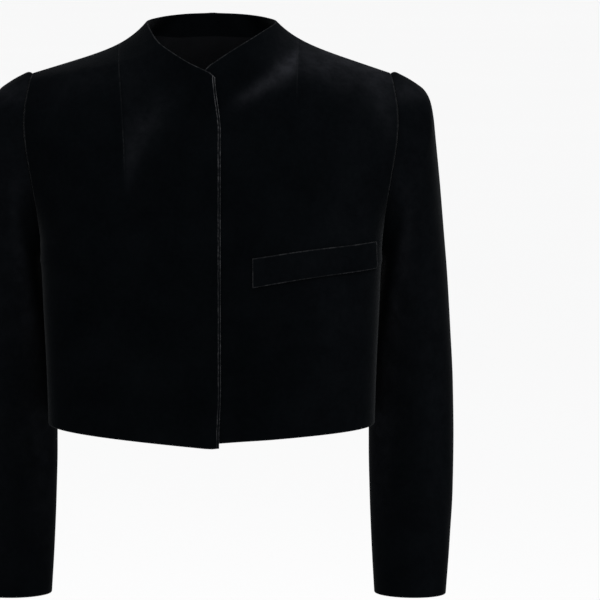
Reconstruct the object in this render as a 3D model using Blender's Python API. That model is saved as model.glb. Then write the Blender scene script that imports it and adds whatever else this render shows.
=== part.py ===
"""Cropped velvet jacket, worn and empty: two lapped fronts with a grown-on funnel neck, a back, two set-in
sleeves with roped heads and one slanted welt pocket.

Frame: metres, +Z up, the front faces -Y, the wearer's left is +X. The origin is midway between the two
shoulder points, where the wearer's shoulders hold the jacket.
"""

from collections import namedtuple

import bmesh
import bpy
import numpy as np

# Driving sizes, in metres
MM = 0.001
CLOTH = 2.4 * MM             # velvet with its backing and turned edges
SEAM_GAP = 0.3 * MM          # room between sewn pieces
LAP_GAP = 0.5 * MM           # room between the two lapped fronts
RIGHT_EDGE = 11.5 * MM       # the right front reaches this far past the centre line
RIGHT_EDGE_NECK = 5.2 * MM   # the same at the neck corner, where the edge curves back
RIGHT_EDGE_HEM = 9.5 * MM    # and at the hem
RIGHT_EDGE_CURVE = 62 * MM   # height over which that edge curves at each end
LEFT_EDGE = 24 * MM          # the left front runs this far under the right front
LAP_FULL = 22 * MM           # the left front lies fully under up to here
LAP_END = 70 * MM            # and is back on the body's surface from here
NECK_FALL = 0.62             # slope of the necklines where they run past the centre line
NECK_LEAN = 0.30             # how far the right one comes forward there for each step down
NECK_FLARE = 6.0             # how sharply the shoulder line sweeps up into the funnel neck
RIGHT_SAG = 1.27             # the right shoulder line sweeps up this much later than the left one
CENTRE_ROUND = 0.25          # share of a back section over which it runs level across the centre line
WELT_HEIGHT = 31.5 * MM      # at its inner end
WELT_HEIGHT_OUT = 28 * MM    # at its outer end
WELT_INNER = (45 * MM, -207 * MM)    # middle of the welt's inner end, across and up
WELT_RISE = 15.5 * MM        # the outer end lies this much higher
WELT_BOW = 2 * MM            # and the middle this much above a straight line
WELT_THICK = 1.9 * MM
WELT_END_ROOM = 1.5 * MM     # no column of the welt lies closer to its inner end than this
WELT_GAP = 0.35 * MM         # room between the welt and the front it is sewn to

VELVET = (0.004, 0.004, 0.005)

# Grid sizes
ROWS_PER_SECTION = 2
FACE_COLUMNS = 20            # from the inner edge to where a section turns to the side
SIDE_COLUMNS = 4             # and from there to the side seam or armhole
FACE_TURN = 80               # the face ends at this angle, in degrees
FACE_SHARE = 0.88            # or at this share of a section that turns less
BACK_STEP = 2                # the back, which is rounder, has one column for this many of the front's
COLUMN_SPREAD = 1.35         # above 1 sets the columns closer together near the centre
WELT_ROWS = 4
WELT_END_COLUMN = 18.33      # the welt ends a third of the way from one column to the next
NECK_ROWS = 3 * ROWS_PER_SECTION     # rows over which the slope at the neck corner fades
EDGE_ROWS = 3                # rows and columns over which a fold fades towards a panel's edges
EDGE_COLUMNS = 2

# One row for each section of a half body, from the front hem over the shoulder to the back hem, in
# millimetres and degrees. "in" is the centre line or neckline, "out" the side seam or armhole. dip and lean:
# how much lower and further forward the right front lies at its inner end. turn: how far the section turns
# round the body. square: 2 is round, more is boxier. flare: share of the rise that is close to the neck.
Section = namedtuple("Section", "x_in y_in z_in dip lean x_out y_out z_out turn square flare")
SECTIONS = {
    "hem front":      Section(0, -113, -391, 5.0, 0.3, 170.5, 24, -376, 108, 3.0, 0.00),
    "waist front":    Section(0, -117, -330, 1.0, 0.1, 172.0, 24, -322, 108, 3.0, 0.00),
    "ribs front":     Section(0, -122, -262, 0.0, 0.0, 174.8, 24, -258, 108, 3.0, 0.00),
    "underarm front": Section(0, -125, -205, 0.0, 0.0, 177.4, 24, -203, 108, 3.0, 0.00),
    "side front":     Section(0, -125, -186, 0.0, 0.0, 182.0, 5, -197, 100, 2.9, 0.00),
    "chest low":      Section(0, -123, -160, 0.0, 0.0, 184.0, -20, -182, 91, 2.8, 0.00),
    "chest middle":   Section(0, -118, -120, 0.0, 0.0, 187.2, -40, -151, 77, 2.7, 0.00),
    "chest high":     Section(0, -110, -83, 1.0, 0.3, 193.5, -53, -110, 66, 2.5, 0.00),
    "neck break":     Section(0, -99, -48, 3.0, 1.0, 199.5, -53, -72, 56, 2.4, 0.03),
    "neck base":      Section(0, -89, -20, 6.0, 2.3, 201.0, -47, -50, 54, 2.3, 0.07),
    "neck corner":    Section(0, -80, 13, 9.0, 3.2, 200.3, -39, -34, 52, 2.2, 0.13),
    "neck quarter":   Section(28, -66, 31, 13.5, 9.4, 198.0, -26, -18, 52, 2.2, 0.19),
    "neck side":      Section(54, -39, 46, 12.0, 14.0, 195.5, -12, -5, 52, 2.2, 0.23),
    "shoulder seam":  Section(70, 4, 56, 0.0, 0.0, 193.5, 2, 0, 52, 2.1, 0.26),
    "nape side":      Section(57, 42, 60, 0.0, 0.0, 193.0, 16, -3, 54, 2.1, 0.30),
    "nape quarter":   Section(29, 62.5, 63, 0.0, 0.0, 192.0, 32, -15, 56, 2.0, 0.33),
    "nape":           Section(0, 66, 64, 0.0, 0.0, 191.0, 48, -36, 58, 2.0, 0.33),
    "neck base back": Section(0, 73, 32, 0.0, 0.0, 189.5, 59, -58, 58, 2.0, 0.21),
    "yoke":           Section(0, 89, -12, 0.0, 0.0, 187.0, 67, -86, 58, 2.0, 0.09),
    "yoke low":       Section(0, 102, -66, 0.0, 0.0, 183.5, 68, -118, 60, 2.0, 0.00),
    "shoulder blade": Section(0, 109, -118, 0.0, 0.0, 179.5, 61, -150, 63, 2.1, 0.00),
    "blade low":      Section(0, 111, -164, 0.0, 0.0, 177.3, 48, -179, 67, 2.2, 0.00),
    "side back":      Section(0, 111, -188, 0.0, 0.0, 177.2, 36, -195, 70, 2.3, 0.00),
    "underarm back":  Section(0, 110, -205, 0.0, 0.0, 177.4, 24, -203, 74, 2.4, 0.00),
    "ribs back":      Section(0, 104, -262, 0.0, 0.0, 174.8, 24, -258, 74, 2.4, 0.00),
    "waist back":     Section(0, 99, -328, 0.0, 0.0, 172.0, 24, -322, 74, 2.4, 0.00),
    "hem back":       Section(0, 97, -386, 0.0, 0.0, 170.5, 24, -376, 74, 2.4, 0.00),
}

# One row for each ring of the sleeve below the armhole, in millimetres. "top" runs down the outside of the
# arm and "under" down the inside. front and back: how far the ring reaches to each side of the line between
# them. keep: share of the armhole's own shape that the ring still has.
Ring = namedtuple("Ring", "x_top y_top z_top x_under y_under z_under front back keep")
ARMHOLE_REACH = (66, 55)
RINGS = {
    "roped edge":  Ring(198.0, 2.0, 1.3, 178.2, 25.5, -204.8, 67.0, 56.0, 1.00),
    "head inner":  Ring(206.2, 2.5, -2.2, 178.8, 26.5, -206.5, 68.0, 57.0, 0.97),
    "head middle": Ring(219.2, 3.5, -9.8, 179.3, 28.0, -210.0, 68.0, 58.5, 0.92),
    "head outer":  Ring(229.6, 4.5, -17.9, 179.5, 29.5, -214.0, 67.5, 59.5, 0.86),
    "head turn":   Ring(235.4, 5.5, -27.7, 179.6, 31.0, -219.0, 67.0, 60.0, 0.78),
    "head side":   Ring(238.4, 7.0, -41.2, 179.4, 32.5, -225.0, 66.0, 60.5, 0.70),
    "cap":         Ring(242.0, 9.0, -72.0, 178.6, 35.0, -236.0, 64.0, 61.0, 0.55),
    "cap low":     Ring(246.6, 14.0, -114.0, 177.0, 39.0, -253.0, 62.0, 61.0, 0.38),
    "upper arm":   Ring(251.6, 23.0, -168.0, 175.3, 43.0, -277.0, 59.0, 59.5, 0.20),
    "biceps":      Ring(256.3, 32.0, -222.0, 173.6, 48.0, -304.0, 56.0, 57.0, 0.08),
    "above elbow": Ring(260.0, 41.0, -280.0, 172.2, 52.0, -334.0, 53.0, 54.0, 0.00),
    "elbow":       Ring(263.2, 48.0, -340.0, 171.0, 55.0, -368.0, 51.0, 52.0, 0.00),
    "below elbow": Ring(264.2, 50.0, -400.0, 171.0, 54.0, -412.0, 49.0, 49.0, 0.00),
    "forearm":     Ring(263.3, 46.0, -458.0, 172.0, 49.0, -462.0, 46.0, 46.0, 0.00),
    "wrist":       Ring(260.0, 40.0, -515.0, 174.0, 43.0, -516.0, 43.0, 43.0, 0.00),
    "cuff":        Ring(255.5, 33.0, -572.0, 177.0, 35.0, -571.0, 40.0, 40.0, 0.00),
}

# The largest soft folds, in millimetres and degrees, as seen straight on from the front. across and up: the
# fold's middle. slant: its direction, from level. A positive depth presses the cloth in.
Fold = namedtuple("Fold", "across up slant length width depth")
FOLDS = {
    "front_right": (
        Fold(-66, 4, -47, 74, 11, 2.0),
        Fold(-76, -58, -52, 62, 13, -1.6),
    ),
    "front_left": (
        Fold(66, 2, 46, 84, 10, 3.2),
        Fold(88, -24, 40, 70, 13, -1.8),
    ),
    "back": (
        Fold(-60, -250, 78, 150, 22, 2.5),
        Fold(64, -262, -80, 140, 22, 2.2),
    ),
}

NAMES = list(SECTIONS)
UNDERARM = NAMES.index("underarm front") * ROWS_PER_SECTION
NECK_CORNER = NAMES.index("neck corner") * ROWS_PER_SECTION
NAPE = NAMES.index("nape") * ROWS_PER_SECTION
SHOULDER = NAMES.index("shoulder seam") * ROWS_PER_SECTION
LAST_ROW = (len(NAMES) - 1) * ROWS_PER_SECTION
ARMHOLE = slice(UNDERARM, LAST_ROW - UNDERARM + 1)
SIDES = {"right": -1.0, "left": 1.0}
BODY_MIDDLE = np.array([0, 0, -250 * MM])


def along_table(table, places):
    """Smooth curve through a table's rows, column by column, that never swings past the values it joins."""
    values = np.array(table, dtype=float)
    steps = np.diff(values, axis=0)
    before = steps[:-1]
    after = steps[1:]
    product = before * after
    slopes = np.zeros_like(values)
    slopes[1:-1] = np.where(product > 0, 2 * product / np.where(product > 0, before + after, 1), 0)
    slopes[0] = steps[0]
    slopes[-1] = steps[-1]
    low = np.clip(np.floor(places).astype(int), 0, len(values) - 2)
    t = (places - low)[:, None]
    return (
        values[low] * (1 + 2 * t) * (1 - t) ** 2
        + slopes[low] * t * (1 - t) ** 2
        + values[low + 1] * t**2 * (3 - 2 * t)
        - slopes[low + 1] * t**2 * (1 - t)
    )


def along_sections(places):
    """The sections' values at the places given. The inner edge has corners at the neck corner and the nape,
    so the curves of its columns start anew there."""
    table = np.array(list(SECTIONS.values()), dtype=float)
    values = along_table(table, places)
    inner = slice(0, Section._fields.index("x_out"))
    corners = [0, NAMES.index("neck corner"), NAMES.index("nape"), len(NAMES) - 1]
    for first, last in zip(corners, corners[1:]):
        within = (places >= first) & (places <= last)
        values[within, inner] = along_table(table[first : last + 1, inner], places[within] - first)
    return values


def smooth_step(value):
    """0 below nought, 1 above one, with a soft S between."""
    t = np.clip(value, 0, 1)
    return t * t * (3 - 2 * t)


def signed_power(value, power):
    """Power of the size, with the sign kept."""
    return np.sign(value) * np.abs(value) ** power


def unit(vectors):
    """Vectors of length one in the same directions."""
    return vectors / np.linalg.norm(vectors, axis=-1, keepdims=True)


def half_body(side):
    """Grid of points on one half of the body, from the front hem over the shoulder to the back hem, and from
    the inner edge to the side seam or armhole. Each row is part of a superellipse round the body."""
    places = np.linspace(0, len(NAMES) - 1, LAST_ROW + 1)
    rows = Section(*along_sections(places).T[:, :, None])
    power = 2 / rows.square
    end = np.radians(rows.turn)
    z_in = rows.z_in - (rows.dip if side == "right" else 0)
    y_in = rows.y_in - (rows.lean if side == "right" else 0)

    start_sine = (rows.x_in / rows.x_out) ** (1 / power) * np.sin(end)
    start = np.arcsin(start_sine)
    edge = start.copy()
    front = np.arange(LAST_ROW + 1) <= NECK_CORNER
    past_centre = edge_reach(side, z_in[front]) / MM / rows.x_out[front]
    edge[front] = -np.arcsin(past_centre ** (1 / power[front]) * np.sin(end[front]))

    bend = np.minimum(np.radians(FACE_TURN), FACE_SHARE * end)
    over_face = np.linspace(0, 1, FACE_COLUMNS + 1) ** COLUMN_SPREAD
    over_side = np.linspace(0, 1, SIDE_COLUMNS + 1)[1:]
    angle = np.hstack([edge + (bend - edge) * over_face, bend + (end - bend) * over_side])
    x = rows.x_out * signed_power(np.sin(angle), power) / np.sin(end) ** power

    def depth(at):
        low = signed_power(np.cos(end), power)
        return (signed_power(np.cos(at), power) - low) / (1 - low)

    y = rows.y_out + (y_in - rows.y_out) * depth(angle) / depth(start)

    within = np.minimum(1, np.pi / 2 / end)
    across = signed_power(np.sin(angle * within), power) / np.sin(end * within) ** power
    begun = np.sin(start * within) ** power / np.sin(end * within) ** power
    along = np.clip(np.abs(across - begun) / (1 - begun), 0, 1)
    rounded = along * along * (1 + CENTRE_ROUND) / (along + CENTRE_ROUND)
    to_nape = smooth_step((np.arange(LAST_ROW + 1) - SHOULDER) / (NAPE - SHOULDER))[:, None]
    along += (rounded - along) * to_nape
    left = 1 - along
    flare = rows.flare * (RIGHT_SAG if side == "right" else 1)
    z = rows.z_out + (z_in - rows.z_out) * ((1 - flare) * left + flare * left**NECK_FLARE)

    near_corner = np.clip(1 - np.abs(np.arange(LAST_ROW + 1) - NECK_CORNER) / NECK_ROWS, 0, 1)
    drop = NECK_FALL * np.minimum(x, 0) * near_corner[:, None]
    lean = NECK_LEAN * drop if side == "right" else 0
    return np.stack([SIDES[side] * x, y + lean, z + drop], axis=-1) * MM


def edge_reach(side, up):
    """How far past the centre line a front's edge lies at the heights given."""
    if side == "left":
        return np.full_like(up, LEFT_EDGE)
    curve = RIGHT_EDGE_CURVE / MM
    near_neck = smooth_step(1 - (SECTIONS["neck corner"].z_in - SECTIONS["neck corner"].dip - up) / curve)
    near_hem = smooth_step(1 - (up - SECTIONS["hem front"].z_in) / curve)
    return RIGHT_EDGE + (RIGHT_EDGE_NECK - RIGHT_EDGE) * near_neck + (RIGHT_EDGE_HEM - RIGHT_EDGE) * near_hem


def grid_normals(points, outward):
    """Unit normals of a grid of points, turned to the side that outward points to."""
    normals = unit(np.cross(np.gradient(points, axis=0), np.gradient(points, axis=1)))
    facing = np.sign(np.sum(normals * outward, axis=-1).sum())
    return normals * facing


def body_normals(points):
    """Normals of a half body. The two side seams share theirs, and round the armhole they lie in its plane,
    so that the pieces meeting there have matching edges. On the fold of the back they point straight back."""
    normals = grid_normals(points, points - BODY_MIDDLE)
    seam = slice(0, UNDERARM + 1)
    shared = unit(normals[seam, -1] + normals[::-1][seam, -1])
    normals[seam, -1] = shared
    normals[LAST_ROW - UNDERARM :, -1] = shared[::-1]
    normals[ARMHOLE, -1] = armhole_normals(points[ARMHOLE, -1])
    normals[NAPE:, 0, 0] = 0
    return unit(normals)


def armhole_normals(loop):
    """Directions out from the middle of the armhole, square to its edge and to the way through it."""
    through = np.array([1.0, 0, 0])
    along = np.gradient(loop, axis=0)
    along[0] = along[-1] = loop[1] - loop[-2]
    square = unit(np.cross(along, through))
    facing = np.sign(np.sum(square * (loop - loop.mean(axis=0)), axis=-1).sum())
    return square * facing


def fold_depth(piece, points):
    """Depth of the soft folds at each point: a trough of Gaussian section that fades towards its ends."""
    depth = np.zeros(points.shape[:-1])
    for fold in FOLDS[piece]:
        slant = np.radians(fold.slant)
        across = points[..., 0] / MM - fold.across
        up = points[..., 2] / MM - fold.up
        lengthwise = (across * np.cos(slant) + up * np.sin(slant)) / (fold.length / 2)
        sideways = (up * np.cos(slant) - across * np.sin(slant)) / fold.width
        depth += fold.depth * MM * np.exp(-(sideways**2) - lengthwise**4)
    return depth


def clear_of_edges(count_rows, count_columns):
    """1 inside a grid and 0 at its edges, so that folds leave the seams where they are."""
    rows = np.minimum(np.arange(count_rows), np.arange(count_rows)[::-1])
    columns = np.minimum(np.arange(count_columns), np.arange(count_columns)[::-1])
    return smooth_step(rows / EDGE_ROWS)[:, None] * smooth_step(columns / EDGE_COLUMNS)


def pulled_back(points, index, towards, amount):
    """A copy of the points with one row or column moved along the directions given."""
    moved = points.copy()
    moved[index] = moved[index] + unit(towards) * amount
    return moved


def sewn_edges(skins, side):
    """Both skins of a half panel with its sewn edges drawn back by half a seam gap: the side seam and armhole
    in the last column, and the shoulder seam in the last row."""
    half_gap = SEAM_GAP / 2
    outer = skins[0]
    side_seam = slice(0, UNDERARM + 1)
    from_side = outer[side_seam, -2] - outer[side_seam, -1]
    from_shoulder = outer[-2] - outer[-1]
    inward = np.array([-SIDES[side], 0, 0])
    for index, towards in (
        ((side_seam, -1), from_side),
        ((slice(UNDERARM, None), -1), inward),
        ((-1,), from_shoulder),
    ):
        skins = [pulled_back(skin, index, towards, half_gap) for skin in skins]
    return skins


def grid_faces(rows, columns, closed=False):
    """Four corners of each face of a grid of points. closed joins the last column to the first."""
    numbers = np.arange(rows * columns).reshape(rows, columns)
    if closed:
        numbers = np.column_stack([numbers, numbers[:, 0]])
    corners = (numbers[:-1, :-1], numbers[:-1, 1:], numbers[1:, 1:], numbers[1:, :-1])
    return np.stack(corners, axis=-1).reshape(-1, 4)


def open_edges(faces):
    """The edges that only one face has."""
    count = {}
    for face in faces:
        for a, b in zip(face, np.roll(face, -1)):
            count.setdefault((min(a, b), max(a, b)), []).append((a, b))
    return [pairs[0] for pairs in count.values() if len(pairs) == 1]


def add_wall(name, outer, inner, faces):
    """One closed solid of cloth between two skins with the same faces, and a rim along their open edges."""
    mesh = bmesh.new()
    skins = [[mesh.verts.new(point) for point in skin.reshape(-1, 3)] for skin in (outer, inner)]
    for skin in skins:
        for face in faces:
            mesh.faces.new([skin[corner] for corner in face])
    outside, inside = skins
    for a, b in open_edges(faces):
        mesh.faces.new((outside[a], outside[b], inside[b], inside[a]))
    loose = [vertex for vertex in mesh.verts if not vertex.link_faces]
    bmesh.ops.delete(mesh, geom=loose, context="VERTS")
    bmesh.ops.recalc_face_normals(mesh, faces=mesh.faces)
    data = bpy.data.meshes.new(name)
    mesh.to_mesh(data)
    mesh.free()
    piece = bpy.data.objects.new(name, data)
    bpy.context.scene.collection.objects.link(piece)
    data.materials.append(velvet(name))


def velvet(name):
    """Matt black cloth."""
    material = bpy.data.materials.new(name + "_velvet")
    material.use_nodes = True
    shader = material.node_tree.nodes["Principled BSDF"]
    shader.inputs["Base Color"].default_value = (*VELVET, 1)
    shader.inputs["Roughness"].default_value = 0.9
    shader.inputs["Metallic"].default_value = 0.0
    return material


def front_skins(side):
    """Outer and inner points of one front, and its normals. The left one sinks under the right one near the
    centre."""
    body = half_body(side)
    panel = body[: SHOULDER + 1]
    outward = body_normals(body)[: SHOULDER + 1]
    sink = fold_depth("front_" + side, panel) * clear_of_edges(*panel.shape[:2])
    if side == "left":
        beside = (panel[..., 0] - LAP_FULL) / (LAP_END - LAP_FULL)
        sink = sink + (CLOTH + LAP_GAP) * (1 - smooth_step(beside))
    outer = panel - outward * sink[..., None]
    return outer, outer - outward * CLOTH, outward


def add_fronts():
    """Both fronts, and the welt on the left one."""
    for side in SIDES:
        outer, inner, outward = front_skins(side)
        skins = sewn_edges([outer, inner], side)
        add_wall("front_" + side, *skins, grid_faces(*outer.shape[:2]))
        if side == "left":
            add_welt(outer, outward)


def add_back():
    """The back as one piece: two halves that share the points on the fold, below the neckline."""
    halves = []
    for side in SIDES:
        body = half_body(side)
        panel = body[SHOULDER:, ::BACK_STEP][::-1]
        outward = body_normals(body)[SHOULDER:, ::BACK_STEP][::-1]
        sink = fold_depth("back", panel) * clear_of_edges(*panel.shape[:2])
        outer = panel - outward * sink[..., None]
        halves.append(sewn_edges([outer, outer - outward * CLOTH], side))
    rows, columns = panel.shape[:2]
    numbers = np.arange(rows * columns).reshape(rows, columns)
    second = numbers + rows * columns
    on_fold = slice(0, LAST_ROW - NAPE + 1)
    second[on_fold, 0] = numbers[on_fold, 0]
    faces = grid_faces(rows, columns)
    skins = [np.concatenate([one, other]) for one, other in zip(*halves)]
    add_wall("back", *skins, np.concatenate([faces, second.ravel()[faces]]))


def add_welt(front, outward):
    """The pocket's welt: a slanted strip made from the left front's points, moved out along its normals.
    Between its upright inner end and its outer end it has the front's own columns."""
    last = int(WELT_END_COLUMN)
    inside = front[UNDERARM, :, 0] > WELT_INNER[0] + WELT_END_ROOM
    inside[last + 1 :] = False
    both = np.concatenate([front, outward], axis=-1)
    outer_end = both[:, last] + (both[:, last + 1] - both[:, last]) * (WELT_END_COLUMN - last)
    lines = [upright(both, WELT_INNER[0]), *both[:, inside].swapaxes(0, 1), outer_end]
    across = np.array([np.interp(WELT_INNER[1], line[:, 2], line[:, 0]) for line in lines])
    shares = (across - across[0]) / (across[-1] - across[0])
    offsets = np.linspace(-0.5, 0.5, WELT_ROWS + 1)
    skins = []
    for lift in (WELT_GAP + WELT_THICK, WELT_GAP):
        strips = []
        for line, reached in zip(lines, shares):
            height = WELT_HEIGHT + (WELT_HEIGHT_OUT - WELT_HEIGHT) * reached
            middle = WELT_INNER[1] + WELT_RISE * reached + WELT_BOW * np.sin(np.pi * reached)
            up = middle + height * offsets
            lifted = line[:, :3] + unit(line[:, 3:]) * lift
            strips.append(np.stack([np.interp(up, line[:, 2], part) for part in lifted.T], axis=-1))
        skins.append(np.array(strips))
    add_wall("pocket_welt", *skins, grid_faces(*skins[0].shape[:2]))


def upright(grid, across):
    """The line up a panel where each of its rows lies as far across as asked."""
    widest = np.argmax(grid[UNDERARM, :, 0])
    rows = grid[:, : widest + 1]
    return np.array([[np.interp(across, row[:, 0], part) for part in row.T] for row in rows])


def sleeve_rings(loop):
    """Rings of a left sleeve, from the armhole to the cuff. Each is an ellipse through its top and under
    points, and the first ones keep the armhole's own shape."""
    top = np.argmax(loop[:, 2])
    lengths = np.concatenate([[0], np.cumsum(np.linalg.norm(np.diff(loop, axis=0), axis=1))])
    ahead = np.pi * (1 - lengths[:top] / lengths[top])
    behind = -np.pi * (lengths[top:-1] - lengths[top]) / (lengths[-1] - lengths[top])
    angle = np.concatenate([ahead, behind])

    armhole = Ring(*loop[top] / MM, *loop[0] / MM, *ARMHOLE_REACH, 1)
    rows = Ring(*np.array([armhole, *RINGS.values()]).T[:, :, None])
    tops = np.stack([rows.x_top, rows.y_top, rows.z_top], axis=-1) * MM
    unders = np.stack([rows.x_under, rows.y_under, rows.z_under], axis=-1) * MM
    reach = np.where(np.sin(angle) > 0, -rows.front, -rows.back) * np.sin(angle) * MM
    rings = (tops + unders) / 2 + (tops - unders) / 2 * np.cos(angle)[:, None]
    rings[..., 1] += reach
    return rings + (loop[:-1] - rings[0]) * rows.keep[..., None]


def add_sleeves():
    """Both sleeves: tubes from the armholes to the open cuffs."""
    for side, sign in SIDES.items():
        mirror = np.array([sign, 1, 1])
        loop = half_body(side)[ARMHOLE, -1] * mirror
        rings = sleeve_rings(loop)
        round_ring = (np.roll(rings, -1, axis=1) - np.roll(rings, 1, axis=1)) / 2
        outward = unit(np.cross(np.gradient(rings, axis=0), round_ring))
        outward *= np.sign(np.sum(outward * (rings - rings.mean(axis=1, keepdims=True))))
        outward[0] = armhole_normals(loop)[:-1]
        skins = [rings, rings - outward * CLOTH]
        skins = [pulled_back(skin, 0, np.array([1.0, 0, 0]), SEAM_GAP / 2) * mirror for skin in skins]
        add_wall("sleeve_" + side, *skins, grid_faces(*rings.shape[:2], closed=True))


for thing in list(bpy.data.objects):
    bpy.data.objects.remove(thing, do_unlink=True)
add_fronts()
add_back()
add_sleeves()
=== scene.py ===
"""Looks of the cropped velvet jacket: each panel is a soft-edged shell of velvet on its solid's form."""

from collections import namedtuple

import bpy
import numpy as np
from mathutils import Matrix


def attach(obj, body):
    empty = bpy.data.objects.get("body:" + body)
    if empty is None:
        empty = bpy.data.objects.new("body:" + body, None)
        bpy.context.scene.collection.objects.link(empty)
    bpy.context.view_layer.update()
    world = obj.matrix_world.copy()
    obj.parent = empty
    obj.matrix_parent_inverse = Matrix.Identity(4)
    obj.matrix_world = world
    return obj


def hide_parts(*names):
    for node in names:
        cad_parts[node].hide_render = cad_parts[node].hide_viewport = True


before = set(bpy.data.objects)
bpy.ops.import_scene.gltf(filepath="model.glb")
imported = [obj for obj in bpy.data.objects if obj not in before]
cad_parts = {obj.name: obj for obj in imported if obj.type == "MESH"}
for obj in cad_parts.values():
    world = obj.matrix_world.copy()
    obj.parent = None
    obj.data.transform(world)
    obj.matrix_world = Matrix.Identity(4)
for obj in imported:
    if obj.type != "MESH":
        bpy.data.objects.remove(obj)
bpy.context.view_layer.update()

MM = 0.001

# Cloth and seams, in metres
CLOTH = 2.4 * MM             # velvet with its backing and turned edges
LAP_GAP = 0.5 * MM           # room between the two lapped fronts
FOLD_ROUND = 1.5 * MM        # a turned edge rounds off over this width
SEAM_ROUND = 1.0 * MM        # and an edge at a seam over this one
TURNED_IN = 26 * MM          # the pile goes on this far inside a turned edge
TURNING_SOFT = 0.6           # and ends over this many millimetres to each side of there
FOLD_FADE = 14 * MM          # folds fade towards an edge over this width
HEAD_FADE = 16 * MM          # and towards the armhole seam of a sleeve over this one
FAR = 99.0                   # stands for the distance to an edge that a piece doesn't have, in any unit
SAME_POINT = 0.001 * MM      # points closer than this are one
TINY = 1e-18                 # keeps a step of no length from dividing by nought

# The fronts' edges, in metres
RIGHT_EDGE = 11.5 * MM       # the right front reaches this far past the centre line
RIGHT_EDGE_NECK = 5.2 * MM   # the same at the neck corner, where the edge curves back
RIGHT_EDGE_HEM = 9.5 * MM    # and at the hem
RIGHT_EDGE_CURVE = 62 * MM   # height over which that edge curves at each end
LEFT_EDGE = 24 * MM          # the left front runs this far under the right front
LAP_FULL = 22 * MM           # the left front lies fully under up to here
LAP_END = 70 * MM            # and is back on the body's surface from here
NECK_FALL = 0.62             # slope of the necklines where they run past the centre line
NECK_FLARE = 6.0             # how sharply the shoulder line sweeps up into the funnel neck
RIGHT_SAG = 1.27             # the right shoulder line sweeps up this much later than the left one
CENTRE_ROUND = 0.25          # share of a back section over which it runs level across the centre line
EDGE_AT_NECK = {"right": RIGHT_EDGE_NECK, "left": LEFT_EDGE}
EDGE_END = 0.9               # a front's edge ends where it has this share of its reach at the neck

# The pocket's welt, in metres
WELT_END = 0.888             # share of the front's face at which the welt ends
WELT_HEIGHT = 31.5 * MM      # at its inner end
WELT_HEIGHT_OUT = 28 * MM    # at its outer end
WELT_INNER = (45 * MM, -207 * MM)    # middle of the welt's inner end, across and up
WELT_RISE = 15.5 * MM        # the outer end lies this much higher
WELT_BOW = 2 * MM            # and the middle this much above a straight line
WELT_THICK = 1.9 * MM
WELT_GAP = 0.35 * MM         # room between the welt and the front it is sewn to
WELT_GRID = (90, 30)         # steps along the welt and across it
# The welt's light edge lines are partly painted highlights.
OUTER_LINE = 2.4             # the light line at the welt's outer end is this much wider than the others

# The cut of each piece laid flat: width and length in metres, area in square metres. held: how the cloth is
# kept. sewn_to: the pieces that carry it.
Cut = namedtuple("Cut", "width length area held sewn_to")

# Grids: steps in one section, and the closer steps next to an edge as shares of a section or panel
STEPS = 9
HEM_STEPS = (0.0012, 0.005, 0.012, 0.022, 0.05)
SHOULDER_STEPS = (0.008, 0.03, 0.06)
FACE_STEPS = 84
FACE_EDGE = (0.0006, 0.002, 0.0045, 0.008, 0.013, 0.019, 0.026)
SIDE_STEPS = 24
SIDE_EDGE = (0.0015, 0.006, 0.014, 0.03, 0.06)
FACE_TURN = 80               # the face ends at this angle, in degrees
FACE_SHARE = 0.88            # or at this share of a section that turns less
COLUMN_SPREAD = 1.2          # above 1 sets the columns closer together near the centre
SLEEVE_STEPS = 9
RING_EDGE = (0.01, 0.04, 0.09, 0.16)
CUFF_EDGE = (0.0015, 0.006, 0.013, 0.024)

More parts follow.
